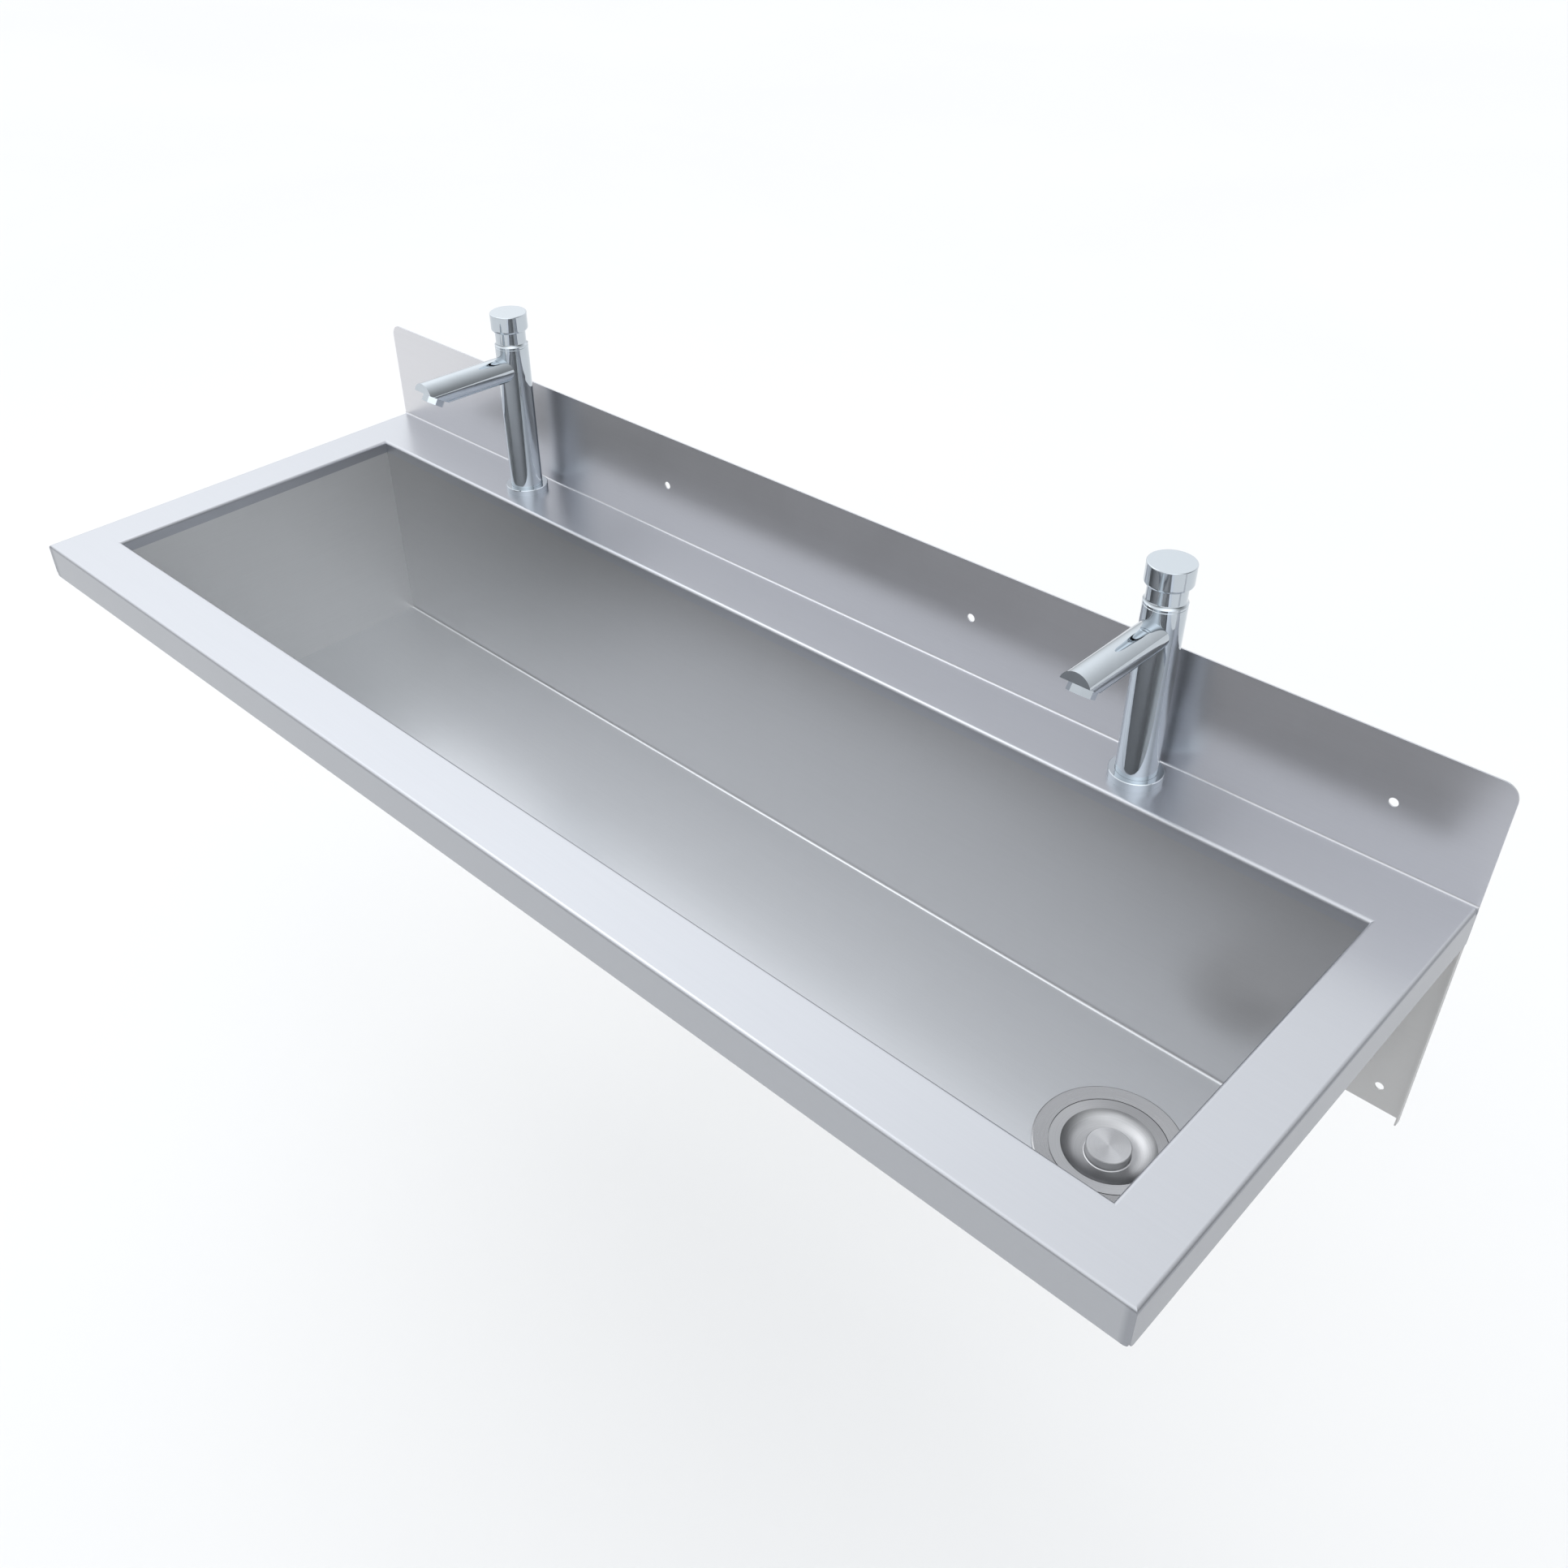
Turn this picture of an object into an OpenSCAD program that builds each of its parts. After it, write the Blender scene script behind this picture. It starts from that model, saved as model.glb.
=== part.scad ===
// Wall-hung stainless trough sink with two push-button pillar taps and a basket waste.
// Millimetres, +X along the wall, +Y into the wall, +Z up.
// The origin is on the wall plane, midway along the row of splashback screw holes.

/* [Rim and splashback] */
// Length of the sink along the wall
sink_len = 1200; // [1000:10:1800]
// Depth from the wall to the face of the front apron
sink_dep = 416; // [400:1:480]
// Thickness of the steel sheet
sheet_t = 1.2; // [1:0.1:1.6]
// Outside radius of the folds
fold_r = 3; // [2.5:0.1:4]
// Height of the aprons
apron_h = 33; // [25:1:50]
// Rounding of the lower corners of the aprons
apron_corner_r = 5; // [2:0.5:10]
// Width of the front rim
front_rim_w = 50.5; // [40:0.5:60]
// Width of the rim at each end
side_rim_w = 47; // [40:0.5:60]
// Depth of the tap ledge, from the wall to the basin
ledge_d = 62; // [58:1:80]
// Height of the down-turned lip round the basin opening
lip_h = 12; // [8:1:20]
// Height of the splashback above the rim
splash_h = 100; // [90:1:200]
// Rounding of the top corners of the splashback
splash_corner_r = 12; // [2:1:25]
// Radius of the relief notch where the side fold meets the splashback fold
relief_r = 1.4; // [0.8:0.1:2]

/* [Basin] */
// Depth of the basin at the waste
basin_depth = 211; // [170:1:260]
// Fall of the floor from the far end to the level part at the waste
floor_fall = 6.5; // [1:0.5:12]
// Length of the level part of the floor
level_len = 208; // [170:1:300]
// Depth of the floor from back wall to front wall
floor_dep = 220; // [190:1:260]
// Inside radius of the folds along the floor
floor_fold_r = 2.5; // [1:0.1:5]

/* [Wall fixing] */
// Diameter of the screw holes
fixing_d = 7; // [5:0.5:9]
// Distance of the outer screw holes of the splashback from its ends
fixing_inset = 72; // [50:1:120]
// Height of the splashback screw holes above the rim
fixing_rise = 51; // [30:1:70]
// Depth of the rear panel below the rim
panel_drop = 213; // [150:1:260]
// Width of the forward flange at each end of the rear panel
panel_flange_w = 9; // [6:0.5:20]
// Distance of the lower screw holes from the ends
lower_hole_inset = 21.5; // [15:0.5:26]
// Height of the lower screw holes above the lower edge of the rear panel
lower_hole_rise = 21; // [12:1:40]

/* [Tap body] */
// Distance between the two taps
tap_spread = 708; // [500:2:900]
// Distance of the tap's axis from the wall
tap_wall_gap = 29.5; // [27:0.5:36]
// Diameter of the hole in the ledge for a tap
tap_hole_d = 22; // [21.5:0.1:25]
// Diameter of the tap body
body_d = 31.4; // [30.6:0.2:34]
// Height of the top of the tap body above the ledge
body_h = 148.5; // [144:0.5:170]
// Diameter of the base ring
base_ring_d = 41.4; // [38:0.2:50]
// Height of the base ring
base_ring_h = 6.5; // [4:0.5:10]
// Diameter of the spout
spout_d = 24.8; // [24:0.2:28]
// Reach of the spout from the tap's axis
spout_reach = 106; // [80:1:150]
// Height of the spout's axis where it leaves the body
spout_z = 127.6; // [122:0.2:129]
// Rise of the spout in degrees
spout_rise = 1.3; // [0.5:0.1:4]
// Angle of the undercut below the spout's tip in degrees
undercut_angle = 33; // [28:1:38]
// Height of the undercut's front edge above the spout's axis
undercut_rise = 3.6; // [3:0.2:5]
// Distance of the outlet's axis behind the tip, along the undercut
outlet_back = 14.3; // [13.5:0.1:16]

/* [Tap push button] */
// Height of the collar at the foot of the bonnet
collar_h = 2.2; // [1.5:0.1:3]
// Diameter of the bonnet's neck
neck_d = 28.6; // [28:0.1:30]
// Height of the neck that shows between collar and button
neck_h = 13.2; // [12:0.2:18]
// Diameter of the push button
button_d = 34.6; // [34:0.2:40]
// Height of the push button
button_h = 16.5; // [15:0.5:20]
// Travel of the push button
button_travel = 7; // [4:0.5:8]
// Thickness of the button's skirt and crown
button_wall = 1.5; // [1:0.1:1.6]
// Diameter of the stem under the button
stem_d = 8; // [6:0.5:9]

/* [Tap outlet and inlet] */
// Aerator housing across its corners
aerator_d = 20.8; // [19:0.2:22]
// Height of the aerator housing below the spout
aerator_h = 6; // [5:0.5:9]
// Number of flats on the aerator housing
aerator_flats = 8; // [6:1:12]
// Thread diameter of the inlet, G 1/2
inlet_d = 20.955; // [20:0.005:21]
// Length of the inlet thread below the tap body
inlet_len = 51; // [40:1:80]
// Waterway through the inlet and the spout
bore_d = 11; // [8:0.5:12]

/* [Waste] */
// Distance of the waste's axis from the right-hand basin wall
waste_inset = 97; // [85:1:105]
// Diameter of the waste's flange
flange_d = 113; // [110:1:120]
// Diameter of the lift-out lid
lid_d = 88; // [86:0.5:89]
// Diameter of the dish pressed into the lid
dish_d = 71; // [66:0.5:74]
// Depth of the dish pressed into the lid
dish_depth = 8; // [5:0.5:10]
// Diameter of the lid's knob
knob_d = 33.8; // [28:0.2:38]
// Outside diameter of the waste's cup
cup_d = 86; // [85:0.5:87]
// Depth of the waste's cup
cup_depth = 52; // [48:1:70]
// Depth of the strainer basket
basket_depth = 36; // [30:1:42]
// Thread diameter of the waste outlet, G 1 1/2
outlet_d = 47.8; // [44:0.1:50]
// Length of the waste outlet
outlet_len = 40; // [25:1:60]
// Diameter of the clamp nut under the basin
clamp_nut_d = 106; // [102:1:112]

/* [Hidden] */
$fn = 96;

// Overrun of the cuts past the faces they cut
overrun = 5;
// Clearances: face to face in a fit, round a thread, and of a running shaft
fit_gap = 0.1;
thread_gap = 0.05;
running_gap = 0.05;
// Left and right along the wall
left = -1;
right = 1;
ends = [left, right];
// The four splashback holes, in pitches from the middle
fixing_shares = [-1.5, -0.5, 0.5, 1.5];
fixing_pitch = (sink_len - 2 * fixing_inset) / 3;

// Rim: the middle of the sink, its rim and its wall plane are the modules' own zero
half_len = sink_len / 2;
inner_r = fold_r - sheet_t;
front_face_y = -sink_dep;
basin_half = half_len - side_rim_w;
basin_back_y = -ledge_d;
basin_front_y = front_face_y + front_rim_w;
bend_y = -sheet_t - inner_r;

// Basin
floor_z = -basin_depth;
far_floor_z = floor_z + floor_fall;
floor_front_y = basin_back_y - floor_dep;
level_x = basin_half - level_len;
front_run = floor_front_y - basin_front_y;
front_drop = basin_depth - lip_h;
front_lean = atan(front_run / front_drop);
front_t = sheet_t / cos(front_lean);
level_fold_share = 1.15;
web_root_share = 0.25;

// Rear panel
panel_gap = 0.3;
panel_top_z = -sheet_t / 2;
lower_hole_z = -panel_drop + lower_hole_rise;

// Tap: heights are above the ledge
seal_t = 1;
collar_z = body_h;
neck_z = collar_z + collar_h;
button_z = neck_z + neck_h;
button_top_z = button_z + button_h;
button_edge_r = 0.8;
button_foot_r = 2.4;
crown_z = button_top_z - button_wall;
bonnet_top_z = button_z + 3.4;
joint_bevel = 0.3;
neck_flare_r = 3.5;
neck_flare_w = body_d / 2 - joint_bevel - neck_d / 2;
neck_flare_h = sqrt(pow(neck_flare_r, 2) - pow(neck_flare_r - neck_flare_w, 2));
bonnet_thread_d = 26.4;
bonnet_thread_h = 8;
bonnet_floor_h = 3;
spring_room_d = 20;
chamber_d = 24.2;
chamber_h = 43;
chamber_z = body_h - bonnet_thread_h - chamber_h;
socket_d = 18;
socket_h = 14;
hub_d = 12;
hub_h = 7;
stem_top_z = crown_z - 1;
stem_foot_z = chamber_z + 15;
cartridge_wall = 4;
cartridge_floor = 4;
piston_h = 8;
port_d = 9;
ring_wire = 2;
spring_wire = 1.6;
spring_d = 18;
spring_turns = 6;
spring_steps = 12;
spring_sides = 6;

// Spout: its axis rises towards the tip, the tip is cut upright and undercut
spout_len = spout_reach / cos(spout_rise);
tip_axis_z = spout_z + spout_reach * tan(spout_rise);
undercut_z = tip_axis_z + undercut_rise;
outlet_y = -spout_reach + outlet_back * cos(undercut_angle);
outlet_z = undercut_z - outlet_back * sin(undercut_angle);
outlet_socket_d = 16;
outlet_socket_h = 5;
aerator_bore_d = 12.6;
insert_h = 4;
insert_inset = 0.6;
jet_d = 1.5;
jet_rings = [[1, 0], [6, 2.3], [11, 4.5]];

// Under the ledge
washer_d = 34;
rubber_washer_t = 2;
steel_washer_t = 1.5;
backnut_h = 8;
backnut_d = 31;
nut_foot_z = -sheet_t - rubber_washer_t - steel_washer_t - backnut_h;
groove_w = 1.5;
groove_depth = 0.6;

// Waste: heights are above the level floor
waste_x = basin_half - waste_inset;
waste_y = basin_back_y - floor_dep / 2;
lid_gap = 0.6;
lid_t = 0.8;
recess_r = lid_d / 2 + lid_gap;
shoulder_t = 1.4;
shoulder_z = -1;
shoulder_r = recess_r + shoulder_t;
floor_hole_r = shoulder_r + fit_gap * 6;
flange_seal_t = 0.6;
flange_edge_t = 0.7;
flange_crown_t = 1.3;
flange_bevel = 1;
flange_seal_inset = 1;
cup_wall = 1.5;
cup_r = cup_d / 2;
cup_in_r = cup_r - cup_wall;
cup_cone_h = 6;
outlet_wall = 2.4;
gasket_t = 3;
gasket_gap = 0.3;
gasket_d = 108;
friction_t = 1;
clamp_nut_h = 12;
lug_count = 6;
lug_w = 10;
lug_out = 3;
basket_t = 0.8;
basket_gap = 1.4;
basket_r = cup_in_r - basket_gap;
basket_hole_d = 4;
basket_rings = [[1, 0], [6, 8], [12, 16], [18, 24], [24, 32]];
basket_side_holes = 24;
basket_side_rise_shares = [0.28, 0.52];
lid_top_z = shoulder_z + basket_t + lid_t;
knob_proud = 0.4;
knob_bevel = 0.5;
knob_flare_r = 1.2;
knob_land = 0.3;
seat_r = knob_d / 2 + knob_flare_r + knob_land;
seat_z = lid_top_z - dish_depth;
dish_run = dish_d / 2 - seat_r;
dish_r = (dish_run * dish_run + dish_depth * dish_depth) / (2 * dish_depth);
screw_d = 5;
screw_head_d = 9;
screw_head_h = 2.6;
screw_tap_h = 2.6;

// Sets the rim at its height below the row of screw holes
module hang() {
  translate([0, 0, -fixing_rise]) children();
}

// Stands a tap on the ledge, left or right
module at_tap(side) {
  hang() translate([side * tap_spread / 2, -tap_wall_gap, 0]) children();
}

module at_waste() {
  hang() translate([waste_x, waste_y, floor_z]) children();
}

// The outlet's own frame, its zero plane on the undercut, +Z into the spout
module at_outlet() {
  translate([0, outlet_y, outlet_z]) rotate([-undercut_angle, 0, 0]) children();
}

// Runs a Y-Z outline along X, and an X-Z outline along Y towards the front
module along_x(from, to) {
  translate([from, 0, 0]) rotate([90, 0, 90]) linear_extrude(to - from) children();
}

module along_y(back, front) {
  translate([0, back, 0]) rotate([90, 0, 0]) linear_extrude(back - front) children();
}

// Flat box between two corners
module plate(low, high) {
  translate(low) square(high - low);
}

// Flat box with its upper low-side corner round, or both upper corners
module round_top(low, high, r, both) {
  high_cut = both ? r : 0;
  plate([low.x, low.y], [high.x, high.y - r]);
  plate([low.x + r, low.y], [high.x - high_cut, high.y]);
  translate([low.x + r, high.y - r]) circle(r);
  if (both) translate([high.x - r, high.y - r]) circle(r);
}

// What a round corner leaves of a square one, the corner at the origin and the round inside +X +Y
module corner_waste(r) {
  difference() {
    plate([-overrun, -overrun], [r, r]);
    translate([r, r]) circle(r);
  }
}

// Box of the rim and aprons, drawn in by a wall's thickness
module rim_block(inset) {
  foot = -apron_h - (inset > 0 ? overrun : 0);
  tail = inset > 0 ? overrun : 0;
  r = fold_r - inset;
  intersection() {
    along_x(-half_len, half_len)
      round_top([front_face_y + inset, foot], [tail, -inset], r, false);
    along_y(tail, front_face_y)
      round_top([-half_len + inset, foot], [half_len - inset, -inset], r, true);
  }
}

// Outline of a slot whose upper edges flare out with the fold's radius, grown by a wall
module flared_slot(low, high, grow, foot) {
  r = fold_r - grow;
  top = -grow;
  plate([low - grow, foot], [high + grow, top - r]);
  difference() {
    plate([low - grow - r, top - r], [high + grow + r, top + (grow > 0 ? 0 : overrun)]);
    translate([low - grow - r, top - r]) circle(r);
    translate([high + grow + r, top - r]) circle(r);
    if (grow == 0) plate([low - r - overrun, top], [low - r, top + overrun]);
  }
}

// The basin opening, its edges flared by the fold, down to a given level
module opening_block(grow, foot) {
  intersection() {
    along_x(-half_len, half_len) flared_slot(basin_front_y, basin_back_y, grow, foot);
    along_y(0, front_face_y) flared_slot(-basin_half, basin_half, grow, foot);
  }
}

// Cuts the four splashback screw holes
module splash_holes() {
  for (share = fixing_shares)
    translate([share * fixing_pitch, overrun, fixing_rise])
      rotate([90, 0, 0]) cylinder(d = fixing_d, h = sheet_t + 2 * overrun);
}

module splash_fold() {
  translate([bend_y, inner_r]) difference() {
    intersection() {
      circle(fold_r);
      plate([0, -fold_r], [fold_r, 0]);
    }
    circle(inner_r);
  }
}

module top_sheet() {
  hang() color("gainsboro") difference() {
    union() {
      difference() {
        rim_block(0);
        rim_block(sheet_t);
        along_x(-half_len - overrun, half_len + overrun)
          plate([bend_y, -sheet_t], [overrun, overrun]);
      }
      along_x(-half_len, half_len) {
        splash_fold();
        plate([-sheet_t, inner_r], [0, splash_h]);
      }
      opening_block(sheet_t, -lip_h);
    }
    opening_block(0, -lip_h - overrun);
    splash_holes();
    for (side = ends) {
      translate([side * tap_spread / 2, -tap_wall_gap, -sheet_t - overrun])
        cylinder(d = tap_hole_d, h = sheet_t + 2 * overrun);
      translate([side * half_len, bend_y, -apron_corner_r])
        cylinder(r = relief_r, h = apron_corner_r + inner_r);
      mirror([side < 0 ? 1 : 0, 0, 0]) {
        along_y(overrun, -sheet_t - overrun)
          translate([half_len, splash_h]) rotate(180) corner_waste(splash_corner_r);
        along_y(front_face_y + sheet_t, front_face_y - overrun)
          translate([half_len, -apron_h]) rotate(90) corner_waste(apron_corner_r);
        along_x(half_len - sheet_t, half_len + overrun)
          translate([front_face_y, -apron_h]) corner_waste(apron_corner_r);
      }
    }
  }
}

// Y-Z outline of the basin below the lip, its walls grown outwards, open at the foot
module basin_outline(grow, foot) {
  back_y = basin_back_y + grow;
  front_grow = grow / cos(front_lean);
  top = grow > 0 ? -lip_h : -lip_h + overrun;
  run_up = (top + lip_h) * tan(front_lean);
  polygon([
    [back_y, top], [back_y, foot],
    [basin_front_y - front_grow + (-lip_h - foot) * tan(front_lean), foot],
    [basin_front_y - front_grow - run_up, top]
  ]);
}

// X-Z outline of the basin, whose floor falls and then runs level
module fall_outline(grow, reach) {
  top = -lip_h + (grow > 0 ? 0 : overrun);
  slope = floor_fall / (level_x + basin_half);
  polygon([
    [-basin_half - reach, top], [-basin_half - reach, far_floor_z + reach * slope - grow],
    [level_x, floor_z - grow], [basin_half + reach, floor_z - grow], [basin_half + reach, top]
  ]);
}

module basin_block(grow, reach) {
  foot = floor_z - 2 * overrun;
  intersection() {
    along_x(-basin_half - reach, basin_half + reach) basin_outline(grow, foot);
    along_y(0, front_face_y) fall_outline(grow, reach);
  }
}

// Web of a fold along the floor, in a corner that opens towards +Y or -Y under a leaning wall
module fold_web(r, lean, way) {
  t = r / tan((90 + lean) / 2);
  in = r * web_root_share;
  difference() {
    polygon([
      [way * t, -in], [way * t, r], [-way * t * sin(lean), t * cos(lean)],
      [way * (-t * sin(lean) - in), t * cos(lean)], [-way * in, -in]
    ]);
    translate([way * t, r]) circle(r);
  }
}

// Carries a web from one point to another, its outline in Y-Z, the open side towards +Y
module web_run(from, to) {
  d = to - from;
  translate(from)
    rotate([0, -atan2(d.z, norm([d.x, d.y])), atan2(d.y, d.x)])
      rotate([90, 0, 90]) linear_extrude(norm(d)) children();
}

function front_wall_y(z) = basin_front_y + (-lip_h - z) * tan(front_lean);

// Folds along the floor; those of the level part are a little wider than those of the fall
module floor_folds() {
  far_x = -basin_half;
  level_r = floor_fold_r * level_fold_share;
  web_run([far_x, basin_back_y, far_floor_z], [level_x, basin_back_y, floor_z])
    fold_web(floor_fold_r, 0, -1);
  web_run([far_x, front_wall_y(far_floor_z), far_floor_z], [level_x, floor_front_y, floor_z])
    fold_web(floor_fold_r, front_lean, 1);
  along_x(level_x + fit_gap, basin_half) {
    translate([basin_back_y, floor_z]) fold_web(level_r, 0, -1);
    translate([floor_front_y, floor_z]) fold_web(level_r, front_lean, 1);
  }
}

// Back wall, floor and leaning front wall of the basin, one folded sheet
module basin_trough() {
  hang() color("silver") difference() {
    basin_block(sheet_t, 0);
    difference() {
      basin_block(0, overrun);
      floor_folds();
    }
    translate([waste_x, waste_y, floor_z - sheet_t - overrun])
      cylinder(r = floor_hole_r, h = sheet_t + 2 * overrun);
  }
}

// End plate of the basin, welded over the end of the trough
module basin_end(side) {
  end_floor_z = (side < 0 ? far_floor_z : floor_z) - sheet_t;
  low_x = side < 0 ? -basin_half - sheet_t : basin_half;
  hang() color("silver")
    along_x(low_x, low_x + sheet_t)
      polygon([
        [basin_back_y + sheet_t, -lip_h], [basin_back_y + sheet_t, end_floor_z],
        [front_wall_y(end_floor_z) - front_t, end_floor_z], [basin_front_y - front_t, -lip_h]
      ]);
}

// Panel behind the basin, with a forward flange at each end, welded below the ledge
module rear_panel() {
  flange_top_z = -apron_h - panel_gap;
  web_half = half_len - sheet_t - panel_gap;
  hang() color("lightgray") difference() {
    union() {
      translate([0, 0, -panel_drop]) linear_extrude(flange_top_z + panel_drop) difference() {
        round_top([-half_len, -panel_flange_w], [half_len, 0], fold_r, true);
        round_top([-half_len + sheet_t, -panel_flange_w - overrun],
          [half_len - sheet_t, -sheet_t], inner_r, true);
      }
      translate([-web_half, -sheet_t, -panel_drop])
        cube([2 * web_half, sheet_t, panel_top_z + panel_drop]);
    }
    for (side = ends)
      translate([side * (half_len - lower_hole_inset), overrun, lower_hole_z])
        rotate([90, 0, 0]) cylinder(d = fixing_d, h = sheet_t + 2 * overrun);
  }
}

// Round bar of the spout, from the tap's axis to its upright tip
module spout_bar(d, reach) {
  translate([0, 0, spout_z]) rotate([90 - spout_rise, 0, 0])
    cylinder(d = d, h = reach / cos(spout_rise));
}

// Removes all below the undercut, from its front edge back past the spout
module undercut() {
  translate([-spout_d, -spout_reach, undercut_z]) rotate([-undercut_angle, 0, 0])
    translate([0, -overrun, -spout_d * 2]) cube([spout_d * 2, spout_d * 2 + overrun, spout_d * 2]);
}

// Cast body and spout in one piece, with the inlet socket, cartridge chamber and waterway
module tap_body() {
  color("lightsteelblue") difference() {
    union() {
      translate([0, 0, seal_t]) cylinder(d = body_d, h = body_h - joint_bevel - seal_t);
      translate([0, 0, body_h - joint_bevel])
        cylinder(d1 = body_d, d2 = body_d - 2 * joint_bevel, h = joint_bevel);
      difference() {
        spout_bar(spout_d, spout_reach + overrun);
        translate([-spout_d, -spout_reach - spout_d, spout_z - spout_d])
          cube([spout_d * 2, spout_d, spout_d * 3]);
        undercut();
      }
    }
    translate([0, 0, seal_t - overrun]) cylinder(d = socket_d, h = socket_h + overrun);
    cylinder(d = bore_d, h = chamber_z + overrun);
    translate([0, 0, chamber_z]) cylinder(d = chamber_d, h = chamber_h + overrun);
    translate([0, 0, body_h - bonnet_thread_h])
      cylinder(d = bonnet_thread_d, h = bonnet_thread_h + overrun);
    spout_bar(bore_d, -outlet_y);
    at_outlet() translate([0, 0, -overrun]) cylinder(d = outlet_socket_d, h = outlet_socket_h + overrun);
  }
}

module tap_base_ring() {
  ring_bevel = 0.5;
  color("lightsteelblue") rotate_extrude() difference() {
    plate([body_d / 2 + fit_gap, 0], [base_ring_d / 2, base_ring_h]);
    translate([base_ring_d / 2, base_ring_h]) rotate(45) square(ring_bevel * sqrt(2), center = true);
  }
}

module tap_base_seal() {
  color("dimgray") difference() {
    cylinder(d = body_d, h = seal_t);
    translate([0, 0, -overrun]) cylinder(d = tap_hole_d, h = seal_t + 2 * overrun);
  }
}

// Threaded inlet, its spigot in the body's socket; a groove ends the thread of the backnut
module tap_shank() {
  foot_z = seal_t - inlet_len;
  groove_z = nut_foot_z - groove_w;
  inlet_r = inlet_d / 2;
  spigot_r = socket_d / 2 - thread_gap;
  color("darkkhaki") rotate_extrude() polygon([
    [bore_d / 2, foot_z], [inlet_r, foot_z], [inlet_r, groove_z - groove_w],
    [inlet_r - groove_depth, groove_z - groove_w], [inlet_r - groove_depth, groove_z],
    [inlet_r, groove_z], [inlet_r, seal_t], [spigot_r, seal_t],
    [spigot_r, seal_t + socket_h], [bore_d / 2, seal_t + socket_h]
  ]);
}

module tap_cartridge() {
  body_r = chamber_d / 2 - fit_gap;
  color("whitesmoke") translate([0, 0, chamber_z]) difference() {
    cylinder(r = body_r, h = chamber_h);
    translate([0, 0, cartridge_floor]) cylinder(r = body_r - cartridge_wall, h = chamber_h);
    translate([0, 0, -overrun]) cylinder(d = port_d, h = cartridge_floor + 2 * overrun);
    translate([0, 0, spout_z - chamber_z]) rotate([90, 0, 0]) cylinder(d = port_d, h = chamber_d);
    translate([0, 0, cartridge_floor]) rotate_extrude()
      translate([body_r + fit_gap, 0]) circle(d = ring_wire, $fn = 24);
  }
}

module tap_cartridge_seal() {
  color("dimgray") translate([0, 0, chamber_z + cartridge_floor]) rotate_extrude() intersection() {
    translate([chamber_d / 2, 0]) circle(d = ring_wire, $fn = 24);
    plate([0, -ring_wire], [chamber_d / 2, ring_wire]);
  }
}

// Screwed cover over the cartridge; its flared neck holds the return spring
module tap_bonnet() {
  foot_z = body_h - bonnet_thread_h;
  collar_r = body_d / 2;
  color("lightsteelblue") difference() {
    union() {
      translate([0, 0, foot_z])
        cylinder(d = bonnet_thread_d - 2 * thread_gap, h = bonnet_thread_h);
      translate([0, 0, collar_z]) cylinder(d = neck_d, h = bonnet_top_z - collar_z);
      rotate_extrude() {
        polygon([
          [0, collar_z], [collar_r - joint_bevel, collar_z], [collar_r, collar_z + joint_bevel],
          [collar_r, neck_z - joint_bevel], [collar_r - joint_bevel, neck_z], [0, neck_z]
        ]);
        difference() {
          plate([0, neck_z], [neck_d / 2 + neck_flare_w, neck_z + neck_flare_h]);
          translate([neck_d / 2 + neck_flare_r, neck_z + neck_flare_h]) circle(neck_flare_r);
        }
      }
    }
    translate([0, 0, foot_z - overrun]) cylinder(d = stem_d + 2 * running_gap, h = body_h);
    translate([0, 0, neck_z + bonnet_floor_h]) cylinder(d = spring_room_d, h = body_h);
  }
}

// Wire of a helical spring that stands on z = 0, its ends drawn flat within the given height
function wire_ring(p, turn) = [
  for (k = [0:spring_sides - 1])
    let (a = k * 360 / spring_sides)
      p + spring_wire / 2 * [cos(a) * cos(turn), cos(a) * sin(turn), sin(a)]
];

module spring(height) {
  mid_r = (spring_d - spring_wire) / 2;
  rise = height - spring_wire;
  count = spring_turns * spring_steps;
  rings = [
    for (i = [0:count])
      let (turn = i * 360 / spring_steps)
        wire_ring([mid_r * cos(turn), mid_r * sin(turn), spring_wire / 2 + rise * i / count], turn)
  ];
  n = spring_sides;
  polyhedron(
    points = [for (ring = rings) each ring],
    faces = concat(
      [[for (k = [0:n - 1]) k]],
      [for (i = [0:count - 1], k = [0:n - 1])
        let (j = (k + 1) % n) [i * n + k, (i + 1) * n + k, (i + 1) * n + j]],
      [for (i = [0:count - 1], k = [0:n - 1])
        let (j = (k + 1) % n) [i * n + k, (i + 1) * n + j, i * n + j]],
      [[for (k = [n - 1:-1:0]) count * n + k]]
    )
  );
}

module tap_spring() {
  foot_z = neck_z + bonnet_floor_h;
  color("gray") translate([0, 0, foot_z]) spring(crown_z - foot_z);
}

// Push button: a cup with a hub for the stem
module tap_button() {
  r = button_d / 2;
  color("lightsteelblue") rotate_extrude() {
    difference() {
      union() {
        plate([0, button_z + button_foot_r], [r, button_top_z - button_edge_r]);
        plate([0, button_z], [r - button_foot_r, button_top_z - button_edge_r]);
        plate([0, button_z + button_foot_r], [r - button_edge_r, button_top_z]);
        translate([r - button_edge_r, button_top_z - button_edge_r]) circle(button_edge_r);
        intersection() {
          translate([r - button_foot_r, button_z + button_foot_r]) circle(button_foot_r);
          plate([0, button_z], [r, button_z + 2 * button_foot_r]);
        }
      }
      plate([-overrun, button_z - overrun], [r - button_wall, crown_z]);
      plate([-r, button_z - overrun], [0, button_top_z + overrun]);
    }
    difference() {
      plate([0, crown_z - hub_h], [hub_d / 2, crown_z]);
      plate([-overrun, crown_z - hub_h - overrun], [stem_d / 2, stem_top_z]);
    }
  }
}

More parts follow.
